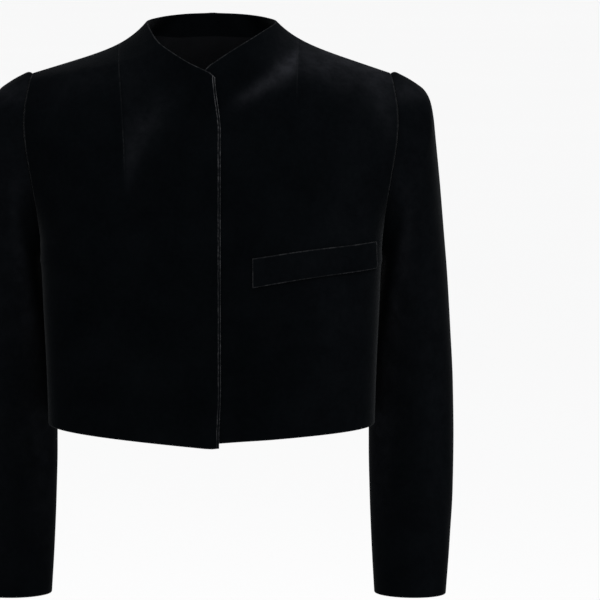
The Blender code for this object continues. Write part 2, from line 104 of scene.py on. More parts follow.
# One row for each section of a half body, from the front hem over the shoulder to the back hem, in
# millimetres and degrees. "in" is the centre line or neckline, "out" the side seam or armhole. dip, lean:
# how much lower and further forward the right front lies at its inner end. turn: how far the section turns
# round the body. square: 2 is round, more is boxier. flare: share of the rise that is close to the neck.
Section = namedtuple("Section", "x_in y_in z_in dip lean x_out y_out z_out turn square flare")
SECTIONS = {
    "hem front":      Section(0, -113, -391, 5.0, 0.3, 170.5, 24, -376, 108, 3.0, 0.00),
    "waist front":    Section(0, -117, -330, 1.0, 0.1, 172.0, 24, -322, 108, 3.0, 0.00),
    "ribs front":     Section(0, -122, -262, 0.0, 0.0, 174.8, 24, -258, 108, 3.0, 0.00),
    "underarm front": Section(0, -125, -205, 0.0, 0.0, 177.4, 24, -203, 108, 3.0, 0.00),
    "side front":     Section(0, -125, -186, 0.0, 0.0, 182.0, 5, -197, 100, 2.9, 0.00),
    "chest low":      Section(0, -123, -160, 0.0, 0.0, 184.0, -20, -182, 91, 2.8, 0.00),
    "chest middle":   Section(0, -118, -120, 0.0, 0.0, 187.2, -40, -151, 77, 2.7, 0.00),
    "chest high":     Section(0, -110, -83, 1.0, 0.3, 193.5, -53, -110, 66, 2.5, 0.00),
    "neck break":     Section(0, -99, -48, 3.0, 1.0, 199.5, -53, -72, 56, 2.4, 0.03),
    "neck base":      Section(0, -89, -20, 6.0, 2.3, 201.0, -47, -50, 54, 2.3, 0.07),
    "neck corner":    Section(0, -80, 13, 9.0, 3.2, 200.3, -39, -34, 52, 2.2, 0.13),
    "neck quarter":   Section(28, -66, 31, 13.5, 9.4, 198.0, -26, -18, 52, 2.2, 0.19),
    "neck side":      Section(54, -39, 46, 12.0, 14.0, 195.5, -12, -5, 52, 2.2, 0.23),
    "shoulder seam":  Section(70, 4, 56, 0.0, 0.0, 193.5, 2, 0, 52, 2.1, 0.26),
    "nape side":      Section(57, 42, 60, 0.0, 0.0, 193.0, 16, -3, 54, 2.1, 0.30),
    "nape quarter":   Section(29, 62.5, 63, 0.0, 0.0, 192.0, 32, -15, 56, 2.0, 0.33),
    "nape":           Section(0, 66, 64, 0.0, 0.0, 191.0, 48, -36, 58, 2.0, 0.33),
    "neck base back": Section(0, 73, 32, 0.0, 0.0, 189.5, 59, -58, 58, 2.0, 0.21),
    "yoke":           Section(0, 89, -12, 0.0, 0.0, 187.0, 67, -86, 58, 2.0, 0.09),
    "yoke low":       Section(0, 102, -66, 0.0, 0.0, 183.5, 68, -118, 60, 2.0, 0.00),
    "shoulder blade": Section(0, 109, -118, 0.0, 0.0, 179.5, 61, -150, 63, 2.1, 0.00),
    "blade low":      Section(0, 111, -164, 0.0, 0.0, 177.3, 48, -179, 67, 2.2, 0.00),
    "side back":      Section(0, 111, -188, 0.0, 0.0, 177.2, 36, -195, 70, 2.3, 0.00),
    "underarm back":  Section(0, 110, -205, 0.0, 0.0, 177.4, 24, -203, 74, 2.4, 0.00),
    "ribs back":      Section(0, 104, -262, 0.0, 0.0, 174.8, 24, -258, 74, 2.4, 0.00),
    "waist back":     Section(0, 99, -328, 0.0, 0.0, 172.0, 24, -322, 74, 2.4, 0.00),
    "hem back":       Section(0, 97, -386, 0.0, 0.0, 170.5, 24, -376, 74, 2.4, 0.00),
}

# One row for each ring of the sleeve below the armhole, in millimetres. "top" runs down the outside of the
# arm and "under" down the inside. front and back: how far the ring reaches to each side of the line between
# them. keep: share of the armhole's own shape that the ring still has.
Ring = namedtuple("Ring", "x_top y_top z_top x_under y_under z_under front back keep")
ARMHOLE_REACH = (66, 55)     # front and back of the armhole itself
RINGS = {
    "roped edge":  Ring(198.0, 2.0, 1.3, 178.2, 25.5, -204.8, 67.0, 56.0, 1.00),
    "head inner":  Ring(206.2, 2.5, -2.2, 178.8, 26.5, -206.5, 68.0, 57.0, 0.97),
    "head middle": Ring(219.2, 3.5, -9.8, 179.3, 28.0, -210.0, 68.0, 58.5, 0.92),
    "head outer":  Ring(229.6, 4.5, -17.9, 179.5, 29.5, -214.0, 67.5, 59.5, 0.86),
    "head turn":   Ring(235.4, 5.5, -27.7, 179.6, 31.0, -219.0, 67.0, 60.0, 0.78),
    "head side":   Ring(238.4, 7.0, -41.2, 179.4, 32.5, -225.0, 66.0, 60.5, 0.70),
    "cap":         Ring(242.0, 9.0, -72.0, 178.6, 35.0, -236.0, 64.0, 61.0, 0.55),
    "cap low":     Ring(246.6, 14.0, -114.0, 177.0, 39.0, -253.0, 62.0, 61.0, 0.38),
    "upper arm":   Ring(251.6, 23.0, -168.0, 175.3, 43.0, -277.0, 59.0, 59.5, 0.20),
    "biceps":      Ring(256.3, 32.0, -222.0, 173.6, 48.0, -304.0, 56.0, 57.0, 0.08),
    "above elbow": Ring(260.0, 41.0, -280.0, 172.2, 52.0, -334.0, 53.0, 54.0, 0.00),
    "elbow":       Ring(263.2, 48.0, -340.0, 171.0, 55.0, -368.0, 51.0, 52.0, 0.00),
    "below elbow": Ring(264.2, 50.0, -400.0, 171.0, 54.0, -412.0, 49.0, 49.0, 0.00),
    "forearm":     Ring(263.3, 46.0, -458.0, 172.0, 49.0, -462.0, 46.0, 46.0, 0.00),
    "wrist":       Ring(260.0, 40.0, -515.0, 174.0, 43.0, -516.0, 43.0, 43.0, 0.00),
    "cuff":        Ring(255.5, 33.0, -572.0, 177.0, 35.0, -571.0, 40.0, 40.0, 0.00),
}

# Soft folds, in millimetres and degrees, as seen straight on. across and up: the fold's middle. slant: its
# direction, from level. A positive depth presses the cloth in. On the sleeves across is measured round the
# arm from its outer line, to the front.
FOLD_ENDS = 4                # power with which a fold fades along its length
Fold = namedtuple("Fold", "across up slant length width depth")
FOLDS = {
    "front_right": (
        Fold(-66, 4, -47, 74, 11, 2.0),
        Fold(-76, -58, -52, 62, 13, -1.6),
        Fold(-112, -250, 84, 150, 18, 1.0),
        Fold(-62, -318, 80, 110, 14, -0.8),
        Fold(-142, -150, -58, 70, 9, 0.9),
    ),
    "front_left": (
        Fold(66, 2, 46, 84, 10, 3.2),
        Fold(88, -24, 40, 70, 13, -1.8),
        Fold(108, -306, -82, 120, 17, 1.0),
        Fold(58, -330, -86, 90, 12, -0.7),
        Fold(146, -140, 60, 64, 9, 0.9),
    ),
    "back": (
        Fold(-60, -250, 78, 150, 22, 2.5),
        Fold(64, -262, -80, 140, 22, 2.2),
        Fold(-118, -150, 58, 92, 13, 1.5),
        Fold(124, -158, -54, 84, 12, 1.7),
        Fold(-14, -338, 86, 90, 16, -1.2),
        Fold(36, -60, 12, 80, 14, 0.8),
        Fold(-128, -322, 80, 90, 14, -1.0),
    ),
    "sleeve_left": (
        Fold(86, -268, 34, 74, 8, 1.5),
        Fold(96, -318, 24, 82, 9, 2.0),
        Fold(84, -362, 8, 78, 8, 1.7),
        Fold(90, -404, -16, 70, 9, 1.5),
        Fold(-92, -300, -20, 76, 9, 1.4),
        Fold(-98, -372, 14, 70, 10, 1.6),
        Fold(30, -452, 72, 120, 13, 0.9),
        Fold(-28, -494, -76, 110, 12, 0.8),
    ),
    "sleeve_right": (
        Fold(84, -276, 30, 70, 9, 1.4),
        Fold(98, -330, 20, 84, 8, 2.0),
        Fold(82, -374, 4, 74, 9, 1.6),
        Fold(92, -418, -20, 66, 8, 1.4),
        Fold(-90, -312, -16, 80, 9, 1.5),
        Fold(-96, -384, 18, 68, 9, 1.5),
        Fold(34, -440, 70, 130, 12, 0.9),
        Fold(-32, -486, -74, 100, 13, 0.8),
    ),
}

# Darts from the shoulder, in millimetres as seen straight on: their two ends, how far the line bows, how
# light its line is, partly a painted highlight, and the share of its length over which it is lightest. It
# fades over a further share.
DART_FADE = 0.25
Dart = namedtuple("Dart", "across up across_low up_low bow light lightest")
DARTS = {
    "front_right": Dart(-99.5, 24, -90.0, -113, 1.5, 0.12, 0.75),
    "front_left": Dart(94.0, 30, 92.0, -104, -1.5, 0.09, 0.20),
}

# Painted sheen and highlights: lighter strokes where the pile catches the light, on the shoulders, the
# sleeve heads and elsewhere, and painted light on the sleeves' shaded inner sides, in millimetres and
# degrees. On the sleeves across is measured round the arm, as for the folds. The painted highlight bands at
# the darts lie on their inner side.
SHEEN_STROKE_ENDS = 2             # power with which a stroke fades along its length
PaintedSheenStroke = namedtuple("PaintedSheenStroke", "across up slant length width light")
# Painted highlights along both shoulders, where the light from above falls; the fronts and the back share
# them.
PAINTED_SHOULDER_HIGHLIGHTS = (
    PaintedSheenStroke(154, 13, -21, 140, 7, 0.40),
    PaintedSheenStroke(150, 4, -21, 130, 15, 0.22),
    PaintedSheenStroke(108, 14, -14, 64, 12, 0.30),
    PaintedSheenStroke(138, -12, -21, 110, 14, 0.08),
    PaintedSheenStroke(-128, 0, 18, 130, 24, 0.09),
    PaintedSheenStroke(-150, 14, 20, 110, 6, 0.16),
)
PAINTED_SHEEN_STROKES = {
    "front_right": PAINTED_SHOULDER_HIGHLIGHTS,
    "front_left": (
        *PAINTED_SHOULDER_HIGHLIGHTS,
        PaintedSheenStroke(182, -22, -76, 90, 11, 0.20),
        PaintedSheenStroke(150, -210, 86, 520, 55, 0.060),
    ),
    "back": (
        *PAINTED_SHOULDER_HIGHLIGHTS,
        PaintedSheenStroke(-84, -18, 22, 190, 34, 0.12),
        PaintedSheenStroke(92, -26, -18, 170, 30, 0.06),
        PaintedSheenStroke(30, -190, 80, 240, 60, 0.05),
    ),
    "sleeve_left": (
        PaintedSheenStroke(26, -16, 0, 130, 14, 0.30),
        PaintedSheenStroke(92, -160, 86, 400, 32, 0.07),
        PaintedSheenStroke(127, -296, 87, 350, 22, 0.30),
        PaintedSheenStroke(46, -340, 88, 540, 24, 0.08),
        PaintedSheenStroke(-70, -300, 86, 520, 50, 0.12),
    ),
    "sleeve_right": (
        PaintedSheenStroke(22, -18, 0, 120, 14, 0.26),
        PaintedSheenStroke(94, -170, 88, 420, 32, 0.07),
        PaintedSheenStroke(125, -304, 86, 360, 22, 0.28),
        PaintedSheenStroke(48, -330, 87, 520, 25, 0.08),
        PaintedSheenStroke(-72, -290, 88, 520, 50, 0.12),
    ),
    "pocket_welt": (
        PaintedSheenStroke(120, -196, 7, 200, 30, 0.06),
    ),
}
# Painted highlight bands beside the darts, bounded by the dart line.
BAND_SOFT = 7                # the bands at the darts end over this width, in millimetres
BAND_PAST = 0.4              # and this share of it lies past the dart
PAINTED_HIGHLIGHT_BANDS = {
    "front_right": (
        PaintedSheenStroke(-74, -60, 53, 84, 14, 0.20),
        PaintedSheenStroke(-85, -98, 74, 44, 8, 0.14),
        PaintedSheenStroke(-86, -30, 72, 90, 18, 0.06),
    ),
    "front_left": (
        PaintedSheenStroke(82, 11, 38, 88, 8, 0.60),
        PaintedSheenStroke(86, 8, 44, 80, 14, 0.11),
        PaintedSheenStroke(90, 8, 38, 44, 8, 0.18),
        PaintedSheenStroke(45, -15, 34, 40, 6, 0.20),
    ),
}

# Puckers of the eased sleeve head, as waves round the arm: how many there are, where they start and their
# share of the depth.
Wave = namedtuple("Wave", "count start share")
PUCKERS = (Wave(23, 0, 1.0), Wave(37, 1.3, 0.7), Wave(14, 0.4, 0.5))
PUCKER_DEPTH = 0.22 * MM
PUCKER_START = 3 * MM        # they rise over this width below the armhole seam
PUCKER_FADE = 11 * MM        # and fade over about this one
PUCKER_FROM = -0.55          # they begin at this cosine of the angle from the arm's outer line
PUCKER_FULL = 0.25           # and are full from this one on

NAMES = list(SECTIONS)
SIDES = {"right": -1.0, "left": 1.0}
BODY_MIDDLE = np.array([0, 0, -250 * MM])


def body_places():
    """Places along the sections: even steps, with closer ones next to the hem and the shoulder seam, and
    the same again for the back in the opposite order."""
    last = len(NAMES) - 1
    shoulder = NAMES.index("shoulder seam")
    even = np.arange(shoulder * STEPS + 1) / STEPS
    front = np.unique(np.concatenate([even, HEM_STEPS, shoulder - np.array(SHOULDER_STEPS)]))
    return np.concatenate([front, last - front[-2::-1]])


def face_shares():
    """Shares of the way from the inner edge to where a section turns to the side: even steps, closer
    together towards the edge and closer still next to it."""
    even = (np.arange(FACE_STEPS + 1) / FACE_STEPS) ** COLUMN_SPREAD
    return np.unique(np.concatenate([even[even > FACE_EDGE[-1]], FACE_EDGE, [0]]))


PLACES = body_places()
FACE_SHARES = face_shares()


def row_of(name):
    """Number of the grid's row that lies on a named section."""
    return int(np.argmin(np.abs(PLACES - NAMES.index(name))))


UNDERARM = row_of("underarm front")
NECK_CORNER = row_of("neck corner")
SHOULDER = row_of("shoulder seam")
NAPE = row_of("nape")
LAST_ROW = len(PLACES) - 1
ARMHOLE = slice(UNDERARM, LAST_ROW - UNDERARM + 1)


def along_table(table, places):
    """Cubic curve through a table's rows, column by column. Its slope at a row is the harmonic mean of the
    steps on both sides, or nought where they differ in sign, so it never swings past the rows."""
    values = np.array(table, dtype=float)
    steps = np.diff(values, axis=0)
    before = steps[:-1]
    after = steps[1:]
    product = before * after
    slopes = np.zeros_like(values)
    slopes[1:-1] = np.where(product > 0, 2 * product / np.where(product > 0, before + after, 1), 0)
    slopes[0] = steps[0]
    slopes[-1] = steps[-1]
    low = np.clip(np.floor(places).astype(int), 0, len(values) - 2)
    t = (places - low).reshape(-1, *[1] * (values.ndim - 1))
    return (
        values[low] * (1 + 2 * t) * (1 - t) ** 2
        + slopes[low] * t * (1 - t) ** 2
        + values[low + 1] * t**2 * (3 - 2 * t)
        - slopes[low + 1] * t**2 * (1 - t)
    )


def along_sections(places):
    """The sections' values at the places given. The inner edge has corners at the neck corner and the nape,
    so the curves of its columns start anew there."""
    table = np.array(list(SECTIONS.values()), dtype=float)
    values = along_table(table, places)
    inner = slice(0, Section._fields.index("x_out"))
    corners = [0, NAMES.index("neck corner"), NAMES.index("nape"), len(NAMES) - 1]
    for first, last in zip(corners, corners[1:]):
        within = (places >= first) & (places <= last)
        values[within, inner] = along_table(table[first : last + 1, inner], places[within] - first)
    return values


def smooth_step(value):
    """0 below nought, 1 above one, and 3t^2 - 2t^3 between."""
    t = np.clip(value, 0, 1)
    return t * t * (3 - 2 * t)


def signed_power(value, power):
    """Power of the size, with the sign kept."""
    return np.sign(value) * np.abs(value) ** power


def unit(vectors):
    """Vectors of length one in the same directions."""
    return vectors / np.linalg.norm(vectors, axis=-1, keepdims=True)


def edge_reach(side, up):
    """How far past the centre line a front's edge lies at the heights given, curving back at both ends."""
    if side == "left":
        return np.full_like(up, LEFT_EDGE)
    curve = RIGHT_EDGE_CURVE / MM
    corner = SECTIONS["neck corner"]
    near_neck = smooth_step(1 - (corner.z_in - corner.dip - up) / curve)
    near_hem = smooth_step(1 - (up - SECTIONS["hem front"].z_in) / curve)
    at_neck = (RIGHT_EDGE_NECK - RIGHT_EDGE) * near_neck
    at_hem = (RIGHT_EDGE_HEM - RIGHT_EDGE) * near_hem
    return RIGHT_EDGE + at_neck + at_hem


def half_body(side):
    """Grid on one half of the body, from the front hem over the shoulder to the back hem, and from the
    inner edge to the side seam or armhole. Each row is part of a superellipse: across goes with a power of
    the sine of an angle, depth with the same power of its cosine, and the height runs from one end to the
    other. Past the centre line the fronts are cut off along the slope of the neckline."""
    rows = Section(*along_sections(PLACES).T[:, :, None])
    power = 2 / rows.square
    end = np.radians(rows.turn)
    z_in = rows.z_in - (rows.dip if side == "right" else 0)
    y_in = rows.y_in - (rows.lean if side == "right" else 0)

    start = np.arcsin((rows.x_in / rows.x_out) ** (1 / power) * np.sin(end))
    edge = start.copy()
    front = np.arange(LAST_ROW + 1) <= NECK_CORNER
    below_corner = (z_in[NECK_CORNER] - z_in[front]) / NECK_FALL
    past_centre = np.minimum(edge_reach(side, z_in[front]) / MM, below_corner) / rows.x_out[front]
    edge[front] = -np.arcsin(past_centre ** (1 / power[front]) * np.sin(end[front]))

    bend = np.minimum(np.radians(FACE_TURN), FACE_SHARE * end)
    even = np.arange(1, SIDE_STEPS + 1) / SIDE_STEPS
    over_side = np.unique(np.concatenate([even, 1 - np.array(SIDE_EDGE)]))
    angle = np.hstack([edge + (bend - edge) * FACE_SHARES, bend + (end - bend) * over_side])
    x = rows.x_out * signed_power(np.sin(angle), power) / np.sin(end) ** power

    def depth(at):
        low = signed_power(np.cos(end), power)
        return (signed_power(np.cos(at), power) - low) / (1 - low)

    y = rows.y_out + (y_in - rows.y_out) * depth(angle) / depth(start)

    within = np.minimum(1, np.pi / 2 / end)
    across = signed_power(np.sin(angle * within), power) / np.sin(end * within) ** power
    begun = np.sin(start * within) ** power / np.sin(end * within) ** power
    along = np.clip(np.abs(across - begun) / (1 - begun), 0, 1)
    rounded = along * along * (1 + CENTRE_ROUND) / (along + CENTRE_ROUND)
    to_nape = smooth_step((PLACES - PLACES[SHOULDER]) / (PLACES[NAPE] - PLACES[SHOULDER]))[:, None]
    along += (rounded - along) * to_nape
    left = 1 - along
    flare = rows.flare * (RIGHT_SAG if side == "right" else 1)
    z = rows.z_out + (z_in - rows.z_out) * ((1 - flare) * left + flare * left**NECK_FLARE)
    return np.stack([SIDES[side] * x, y, z], axis=-1) * MM


def grid_normals(points, outward):
    """Unit normals of a grid: at each point the sum of the faces round it, where a face counts as the cross
    product of its diagonals, turned to the side of outward."""
    faces = np.cross(points[1:, 1:] - points[:-1, :-1], points[1:, :-1] - points[:-1, 1:])
    total = np.zeros_like(points)
    for rows in (slice(0, -1), slice(1, None)):
        for columns in (slice(0, -1), slice(1, None)):
            total[rows, columns] += faces
    normals = unit(total)
    return normals * np.sign(np.sum(normals * outward, axis=-1).sum())


def armhole_normals(loop):
    """Directions out from the middle of the armhole, square to its edge and to the way through it."""
    along = np.gradient(loop, axis=0)
    along[0] = along[-1] = loop[1] - loop[-2]
    square = unit(np.cross(along, [1.0, 0, 0]))
    return square * np.sign(np.sum(square * (loop - loop.mean(axis=0)), axis=-1).sum())


def body_normals(points):
    """Normals of a half body. The two side seams share theirs, round the armhole they lie in its plane, and
    on the fold of the back they point straight back."""
    normals = grid_normals(points, points - BODY_MIDDLE)
    seam = slice(0, UNDERARM + 1)
    shared = unit(normals[seam, -1] + normals[::-1][seam, -1])
    normals[seam, -1] = shared
    normals[LAST_ROW - UNDERARM :, -1] = shared[::-1]
    normals[ARMHOLE, -1] = armhole_normals(points[ARMHOLE, -1])
    normals[NAPE:, 0, 0] = 0
    return unit(normals)


def soft_marks(table, across, up, ends):
    """Sum of soft strokes: each is its strength times a Gaussian across it, and along it a fall with the
    power given: 2 is as soft, and 4 has a longer even part."""
    total = np.zeros(across.shape)
    for mark in table:
        slant = np.radians(mark.slant)
        aside = across / MM - mark.across
        above = up / MM - mark.up
        lengthwise = (aside * np.cos(slant) + above * np.sin(slant)) / (mark.length / 2)
        sideways = (above * np.cos(slant) - aside * np.sin(slant)) / mark.width
        total += mark[-1] * np.exp(-(sideways**2) - lengthwise**ends)
    return total


def distance_to(points, line):
    """Shortest distance from each point of a grid to a line of straight steps."""
    start = line[:-1]
    step = line[1:] - start
    share = np.clip(
        (np.einsum("rci,si->rcs", points, step) - np.sum(start * step, axis=-1))
        / np.maximum(np.sum(step * step, axis=-1), TINY),
        0,
        1,
    )
    gap = points[:, :, None] - (start + share[..., None] * step)
    return np.sqrt(np.sum(gap * gap, axis=-1).min(axis=-1))


def grid_faces(rows, columns, closed):
    """Four corners of each face of a grid of points. closed joins the last column to the first."""
    numbers = np.arange(rows * columns).reshape(rows, columns)
    if closed:
        numbers = np.column_stack([numbers, numbers[:, 0]])
    corners = (numbers[:-1, :-1], numbers[:-1, 1:], numbers[1:, 1:], numbers[1:, :-1])
    return np.stack(corners, axis=-1).reshape(-1, 4)


def nearest(*distances):
    """The smallest of several distances at each point."""
    return np.minimum.reduce(distances)


Panel = namedtuple("Panel", "points normals turned sewn marks closed")


def shell(panels, thickness):
    """Points, faces and marks of a closed shell. Both skins lie at half the thickness times a quarter
    circle of the distance to the nearest edge, so they meet in a rounded edge, and points that coincide are
    one."""
    points, faces, marks = [], [], []
    count = 0
    for panel in panels:
        near = np.minimum(panel.turned / FOLD_ROUND, panel.sewn / SEAM_ROUND)
        half = thickness / 2 * np.sqrt(1 - (1 - np.clip(near, 0, 1)) ** 2)
        middle = panel.points - panel.normals * thickness / 2
        lift = panel.normals * half[..., None]
        corners = grid_faces(*middle.shape[:2], panel.closed)
        flat = middle.reshape(-1, 3)
        one, two, three, four = flat[corners].swapaxes(0, 1)
        facing = np.cross(three - one, four - two)
        if np.sum(facing * panel.normals.reshape(-1, 3)[corners[:, 0]]) < 0:
            corners = corners[:, ::-1]
        skins = ((middle + lift, corners, 0.0), (middle - lift, corners[:, ::-1], 1.0))
        for skin, order, inside in skins:
            points.append(skin.reshape(-1, 3))
            faces.append(order + count)
            skin_marks = {**panel.marks, "inside": np.full(skin.shape[:2], inside)}
            marks.append(np.stack([mark.reshape(-1) for mark in skin_marks.values()], axis=-1))
            count += skin.shape[0] * skin.shape[1]
    points = np.concatenate(points)
    keys = np.round(points / SAME_POINT).astype(np.int64)
    first, index = np.unique(keys, axis=0, return_index=True, return_inverse=True)[1:]
    faces = index.reshape(-1)[np.concatenate(faces)]
    return points[first], faces, np.concatenate(marks)[first], list(skin_marks)


def add_piece(name, panels, thickness, finish):
    """A mesh object for a shell, with its marks as attributes."""
    points, faces, marks, mark_names = shell(panels, thickness)
    data = bpy.data.meshes.new(name)
    data.from_pydata(points, [], faces)
    data.materials.append(finish)
    data.polygons.foreach_set("use_smooth", np.ones(len(faces), bool))
    for number, mark in enumerate(mark_names):
        layer = data.attributes.new(mark, "FLOAT", "POINT")
        layer.data.foreach_set("value", marks[:, number].astype(np.float32))
    data.validate()
    data.update()
    piece = bpy.data.objects.new(name, data)
    bpy.context.scene.collection.objects.link(piece)
    return piece


def all_marks(shape, **known):
    """Every mark that the velvet reads: those that are known, and else far away or nought."""
    far = np.full(shape, FAR)
    none = np.zeros(shape)
    edges = {"front_edge": far, "turned_edge": far, "seam": far, "armhole": far, "dart": far}
    return {**edges, "dart_light": none, "brushed": none, **known}


def dart_marks(piece, points):
    """Signed distance in millimetres, as seen straight on, to a front's dart, and how light the dart's
    line, partly a painted highlight, is at that height; the same number sets the depth of its dip."""
    dart = DARTS[piece]
    x = points[..., 0] / MM
    z = points[..., 2] / MM
    share = (z - dart.up) / (dart.up_low - dart.up)
    bowed = dart.bow * np.sin(np.pi * np.clip(share, 0, 1))
    line = dart.across + (dart.across_low - dart.across) * share + bowed
    fade = 1 - smooth_step((share - dart.lightest) / DART_FADE)
    return x - line, dart.light * fade


def front_panel(side):
    """One front with its edges' distances and marks. The left one sinks under the right one near the
    centre."""
    name = "front_" + side
    body = half_body(side)
    panel = body[: SHOULDER + 1]
    outward = body_normals(body)[: SHOULDER + 1]
    past_centre = -SIDES[side] * panel[: NECK_CORNER + 1, 0, 0]
    corner = np.flatnonzero(past_centre > EDGE_END * EDGE_AT_NECK[side])[-1]
    front_edge = distance_to(panel, panel[: corner + 1, 0])
    neck = distance_to(panel, panel[corner:, 0])
    hem = distance_to(panel, panel[0])
    shoulder = distance_to(panel, panel[-1])
    armhole = distance_to(panel, panel[UNDERARM:, -1])
    side_seam = distance_to(panel, panel[: UNDERARM + 1, -1])
    turned = nearest(front_edge, neck, hem)
    sewn = nearest(shoulder, armhole, side_seam)
    across = panel[..., 0]
    up = panel[..., 2]
    fade = smooth_step(nearest(turned, sewn) / FOLD_FADE)
    sink = soft_marks(FOLDS[name], across, up, FOLD_ENDS) * MM * fade
    if side == "left":
        clear_of_lap = smooth_step((across - LAP_FULL) / (LAP_END - LAP_FULL))
        sink = sink + (CLOTH + LAP_GAP) * (1 - clear_of_lap)
    dart, dart_light = dart_marks(name, panel)
    # Painted highlight bands, kept to the centre side of the dart.
    inner_side = smooth_step(BAND_PAST - SIDES[side] * dart / BAND_SOFT)
    highlight_bands = soft_marks(PAINTED_HIGHLIGHT_BANDS[name], across, up, SHEEN_STROKE_ENDS) * inner_side
    marks = all_marks(
        across.shape,
        front_edge=front_edge / MM,
        turned_edge=nearest(neck, hem) / MM,
        seam=nearest(shoulder, side_seam) / MM,
        armhole=armhole / MM,
        dart=dart,
        dart_light=dart_light,
        brushed=soft_marks(PAINTED_SHEEN_STROKES[name], across, up, SHEEN_STROKE_ENDS) + highlight_bands,
    )
    return Panel(panel - outward * sink[..., None], outward, turned, sewn, marks, closed=False)


def back_panel(side):
    """One half of the back, which meets the other half on the fold."""
    body = half_body(side)
    panel = body[SHOULDER:]
    outward = body_normals(body)[SHOULDER:]
    neck = distance_to(panel, panel[: NAPE - SHOULDER + 1, 0])
    hem = distance_to(panel, panel[-1])
    shoulder = distance_to(panel, panel[0])
    armhole = distance_to(panel, panel[: LAST_ROW - UNDERARM - SHOULDER + 1, -1])
    side_seam = distance_to(panel, panel[LAST_ROW - UNDERARM - SHOULDER :, -1])
    turned = nearest(neck, hem)
    sewn = nearest(shoulder, armhole, side_seam)
    across = panel[..., 0]
    up = panel[..., 2]
    fade = smooth_step(nearest(turned, sewn) / FOLD_FADE)
    sink = soft_marks(FOLDS["back"], across, up, FOLD_ENDS) * MM * fade
    marks = all_marks(
        across.shape,
        turned_edge=turned / MM,
        seam=nearest(shoulder, side_seam) / MM,
        armhole=armhole / MM,
        brushed=soft_marks(PAINTED_SHEEN_STROKES["back"], across, up, SHEEN_STROKE_ENDS),
    )
    return Panel(panel - outward * sink[..., None], outward, turned, sewn, marks, closed=False)


def sleeve_panel(side):
    """A sleeve as a tube of rings. Each is an ellipse through its top and under points, and the first ones
    keep the armhole's own shape. Small puckers of the eased head run down from the armhole seam."""
    name = "sleeve_" + side
    mirror = np.array([SIDES[side], 1, 1])
    loop = half_body(side)[ARMHOLE, -1] * mirror
    top = np.argmax(loop[:, 2])
    lengths = np.concatenate([[0], np.cumsum(np.linalg.norm(np.diff(loop, axis=0), axis=1))])
    ahead = np.pi * (1 - lengths[:top] / lengths[top])
    behind = -np.pi * (lengths[top:-1] - lengths[top]) / (lengths[-1] - lengths[top])
    angle = np.concatenate([ahead, behind])

    armhole = Ring(*loop[top] / MM, *loop[0] / MM, *ARMHOLE_REACH, 1)
    table = np.array([armhole, *RINGS.values()])
    last = len(table) - 1
    even = np.arange(last * SLEEVE_STEPS + 1) / SLEEVE_STEPS
    places = np.unique(np.concatenate([even, RING_EDGE, last - np.array(CUFF_EDGE)]))
    rows = Ring(*along_table(table, places).T[:, :, None])
    tops = np.stack([rows.x_top, rows.y_top, rows.z_top], axis=-1) * MM
    unders = np.stack([rows.x_under, rows.y_under, rows.z_under], axis=-1) * MM
    reach = np.where(np.sin(angle) > 0, -rows.front, -rows.back) * np.sin(angle) * MM
    rings = (tops + unders) / 2 + (tops - unders) / 2 * np.cos(angle)[:, None]
    rings[..., 1] += reach
    rings = rings + (loop[:-1] - rings[0]) * rows.keep[..., None]

    round_ring = (np.roll(rings, -1, axis=1) - np.roll(rings, 1, axis=1)) / 2
    outward = unit(np.cross(np.gradient(rings, axis=0), round_ring))
    outward *= np.sign(np.sum(outward * (rings - rings.mean(axis=1, keepdims=True))))
    outward[0] = armhole_normals(loop)[:-1]

    from_seam = distance_to(rings, np.vstack([rings[0], rings[0, :1]]))
    from_cuff = distance_to(rings, np.vstack([rings[-1], rings[-1, :1]]))
    girth = np.linalg.norm(round_ring, axis=-1).sum(axis=1, keepdims=True)
    across = angle / (2 * np.pi) * girth
    up = rings[..., 2]
    fade = smooth_step(from_seam / HEAD_FADE) * smooth_step(from_cuff / FOLD_FADE)
    sink = soft_marks(FOLDS[name], across, up, FOLD_ENDS) * MM * fade
    waves = sum(wave.share * np.sin(angle * wave.count + wave.start) for wave in PUCKERS)
    round_head = smooth_step((np.cos(angle) - PUCKER_FROM) / (PUCKER_FULL - PUCKER_FROM))
    below_seam = smooth_step(from_seam / PUCKER_START) * np.exp(-from_seam / PUCKER_FADE)
    sink = sink + PUCKER_DEPTH * waves * round_head * below_seam
    brushed = soft_marks(PAINTED_SHEEN_STROKES[name], across, up, SHEEN_STROKE_ENDS)
    marks = all_marks(across.shape, turned_edge=from_cuff / MM, brushed=brushed)
    points = (rings - outward * sink[..., None]) * mirror
    return Panel(points, outward * mirror, from_cuff, from_seam, marks, closed=True)


def row_lookup(grid, wanted):
    """Each row of a grid read where its first value, which grows along the row, has the values wanted for
    that row, by straight steps between its columns."""
    key = grid[..., 0]
    low = np.clip((key[:, None, :] <= wanted[..., None]).sum(axis=-1) - 1, 0, key.shape[1] - 2)
    before = np.take_along_axis(grid, low[..., None], axis=1)
    after = np.take_along_axis(grid, low[..., None] + 1, axis=1)
    share = (wanted - before[..., 0]) / (after[..., 0] - before[..., 0])
    return before + (after - before) * share[..., None]


def eased(count):
    """Steps from 0 to 1 that lie closer together at both ends."""
    t = np.linspace(0, 1, count + 1)
    return 0.5 - 0.5 * np.cos(np.pi * t)


